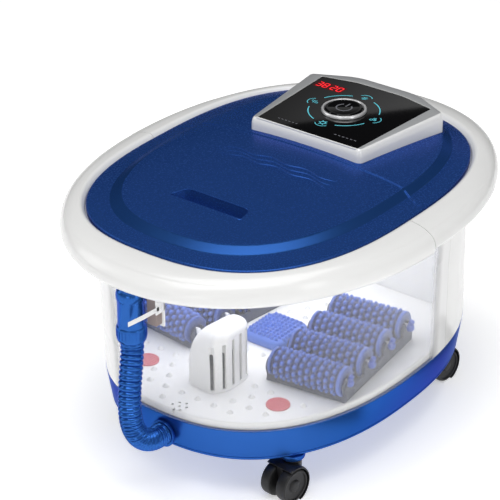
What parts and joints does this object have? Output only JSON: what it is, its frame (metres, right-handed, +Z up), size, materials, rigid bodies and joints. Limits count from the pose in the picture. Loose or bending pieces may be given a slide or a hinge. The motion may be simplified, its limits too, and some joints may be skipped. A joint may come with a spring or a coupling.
{
  "type": "foot spa basin",
  "caption": "Deep wheeled foot spa basin with lift-off front lid, fixed rear cover with control pod, massage rollers, herb box and front drain hose.",
  "frame": {"origin": "on the ground under the middle of the rim", "axes": "+Z up, +Y from the hose end towards the control pod, +X to the right of someone looking along +Y"},
  "size_m": [0.362, 0.479, 0.2849],
  "materials": {
    "royal_blue_abs": "glossy moulded ABS",
    "clear_wall": "clear moulded plastic, frosted towards its edges",
    "white_abs": "glossy moulded ABS",
    "navy_gloss_abs": "high gloss moulded ABS",
    "silver_paint": "silver lacquer on ABS",
    "black_glass": "back-printed black panel",
    "chrome_plate": "chrome plated plastic",
    "circuit_board": "solder mask",
    "black_plastic": "satin moulded nylon",
    "grey_plastic": "moulded housing",
    "steel": "drawn tube",
    "tray_grey": "satin moulded plastic",
    "pad_blue": "soft moulded rubber",
    "red_lens": "tinted lens",
    "hose_blue": "corrugated soft plastic",
    "roller_blue": "moulded plastic",
    "axle_white": "moulded acetal",
    "caster_tread": "nylon tread"
  },
  "bodies": {
    "root": {"base_skirt": "royal_blue_abs", "base_plate": "royal_blue_abs", "drain_spigot": "royal_blue_abs", "hose_fitting": "royal_blue_abs", "tub_wall_front": "clear_wall", "tub_wall_rear": "white_abs", "floor_pan": "white_abs", "bulkhead": "white_abs", "front_rim": "white_abs", "rear_rim": "white_abs", "hose_clip": "white_abs", "rear_cover": "navy_gloss_abs", "pod_bezel": "silver_paint", "pod_glass": "black_glass", "control_ring": "chrome_plate", "control_board": "circuit_board", "button_switch": "black_plastic", "display_module": "black_plastic", "air_blower": "black_plastic", "power_inlet": "black_plastic", "circulation_pump": "grey_plastic", "power_module": "grey_plastic", "air_manifold": "grey_plastic", "heater_tube": "steel", "roller_tray_left": "tray_grey", "roller_tray_right": "tray_grey", "centre_pad": "pad_blue", "heat_window_left": "red_lens", "heat_window_right": "red_lens", "drain_hose": "hose_blue", "axle_right_1": "axle_white", "axle_right_2": "axle_white", "axle_right_3": "axle_white", "axle_right_4": "axle_white", "axle_left_1": "axle_white", "axle_left_2": "axle_white", "axle_left_3": "axle_white", "axle_left_4": "axle_white"},
    "front_lid": {"front_lid": "navy_gloss_abs"},
    "power_button": {"power_button": "black_glass"},
    "herb_box": {"herb_box": "white_abs"},
    "herb_box_lid": {"herb_box_lid": "white_abs"},
    "roller_right_1": {"roller_right_1": "roller_blue"},
    "roller_right_2": {"roller_right_2": "roller_blue"},
    "roller_right_3": {"roller_right_3": "roller_blue"},
    "roller_right_4": {"roller_right_4": "roller_blue"},
    "roller_left_1": {"roller_left_1": "roller_blue"},
    "roller_left_2": {"roller_left_2": "roller_blue"},
    "roller_left_3": {"roller_left_3": "roller_blue"},
    "roller_left_4": {"roller_left_4": "roller_blue"},
    "caster_front_right": {"caster_housing_front_right": "black_plastic"},
    "wheels_front_right": {"caster_wheels_front_right": "caster_tread"},
    "caster_rear_right": {"caster_housing_rear_right": "black_plastic"},
    "wheels_rear_right": {"caster_wheels_rear_right": "caster_tread"},
    "caster_front_left": {"caster_housing_front_left": "black_plastic"},
    "wheels_front_left": {"caster_wheels_front_left": "caster_tread"},
    "caster_rear_left": {"caster_housing_rear_left": "black_plastic"},
    "wheels_rear_left": {"caster_wheels_rear_left": "caster_tread"}
  },
  "joints": [
    {"name": "lid_lift", "type": "slide", "parent": "root", "child": "front_lid", "axis": [0, 0, 1], "range_m": [0, 0.1]},
    {"name": "button_press", "type": "slide", "parent": "root", "child": "power_button", "axis": [0, 0, -1], "range_m": [0, 0.0015], "stiffness_N_per_m": 1500, "springref_m": -0.0005},
    {"name": "herb_box_lift", "type": "slide", "parent": "root", "child": "herb_box", "axis": [0, 0, 1], "range_m": [0, 0.07]},
    {"name": "herb_lid_lift", "type": "slide", "parent": "herb_box", "child": "herb_box_lid", "axis": [0, 0, 1], "range_m": [0, 0.03]},
    {"name": "roller_right_1_spin", "type": "hinge", "parent": "root", "child": "roller_right_1", "pos_m": [0.08981, -0.07955, 0.1043], "axis": [0.9925, 0.1219, 0], "continuous": true},
    {"name": "roller_right_2_spin", "type": "hinge", "parent": "root", "child": "roller_right_2", "pos_m": [0.085, -0.04035, 0.1043], "axis": [0.9925, 0.1219, 0], "continuous": true},
    {"name": "roller_right_3_spin", "type": "hinge", "parent": "root", "child": "roller_right_3", "pos_m": [0.08018, -0.00114, 0.1043], "axis": [0.9925, 0.1219, 0], "continuous": true},
    {"name": "roller_right_4_spin", "type": "hinge", "parent": "root", "child": "roller_right_4", "pos_m": [0.07537, 0.03806, 0.1043], "axis": [0.9925, 0.1219, 0], "continuous": true},
    {"name": "roller_left_1_spin", "type": "hinge", "parent": "root", "child": "roller_left_1", "pos_m": [-0.07981, -0.07955, 0.1043], "axis": [0.9925, -0.1219, 0], "continuous": true},
    {"name": "roller_left_2_spin", "type": "hinge", "parent": "root", "child": "roller_left_2", "pos_m": [-0.075, -0.04035, 0.1043], "axis": [0.9925, -0.1219, 0], "continuous": true},
    {"name": "roller_left_3_spin", "type": "hinge", "parent": "root", "child": "roller_left_3", "pos_m": [-0.07018, -0.00114, 0.1043], "axis": [0.9925, -0.1219, 0], "continuous": true},
    {"name": "roller_left_4_spin", "type": "hinge", "parent": "root", "child": "roller_left_4", "pos_m": [-0.06537, 0.03806, 0.1043], "axis": [0.9925, -0.1219, 0], "continuous": true},
    {"name": "swivel_front_right", "type": "hinge", "parent": "root", "child": "caster_front_right", "pos_m": [0.1035, -0.124, 0.045], "axis": [0, 0, 1], "continuous": true},
    {"name": "roll_front_right", "type": "hinge", "parent": "caster_front_right", "child": "wheels_front_right", "pos_m": [0.10245, -0.13595, 0.017], "axis": [0.9962, -0.0872, 0], "continuous": true},
    {"name": "swivel_rear_right", "type": "hinge", "parent": "root", "child": "caster_rear_right", "pos_m": [0.095, 0.118, 0.045], "axis": [0, 0, 1], "continuous": true},
    {"name": "roll_rear_right", "type": "hinge", "parent": "caster_rear_right", "child": "wheels_rear_right", "pos_m": [0.09605, 0.12995, 0.017], "axis": [0.9962, -0.0872, 0], "continuous": true},
    {"name": "swivel_front_left", "type": "hinge", "parent": "root", "child": "caster_front_left", "pos_m": [-0.1035, -0.124, 0.045], "axis": [0, 0, 1], "continuous": true},
    {"name": "roll_front_left", "type": "hinge", "parent": "caster_front_left", "child": "wheels_front_left", "pos_m": [-0.0975, -0.11361, 0.017], "axis": [0.866, -0.5, 0], "continuous": true},
    {"name": "swivel_rear_left", "type": "hinge", "parent": "root", "child": "caster_rear_left", "pos_m": [-0.095, 0.118, 0.045], "axis": [0, 0, 1], "continuous": true},
    {"name": "roll_rear_left", "type": "hinge", "parent": "caster_rear_left", "child": "wheels_rear_left", "pos_m": [-0.09749, 0.12974, 0.017], "axis": [0.9781, 0.2079, 0], "continuous": true}
  ]
}
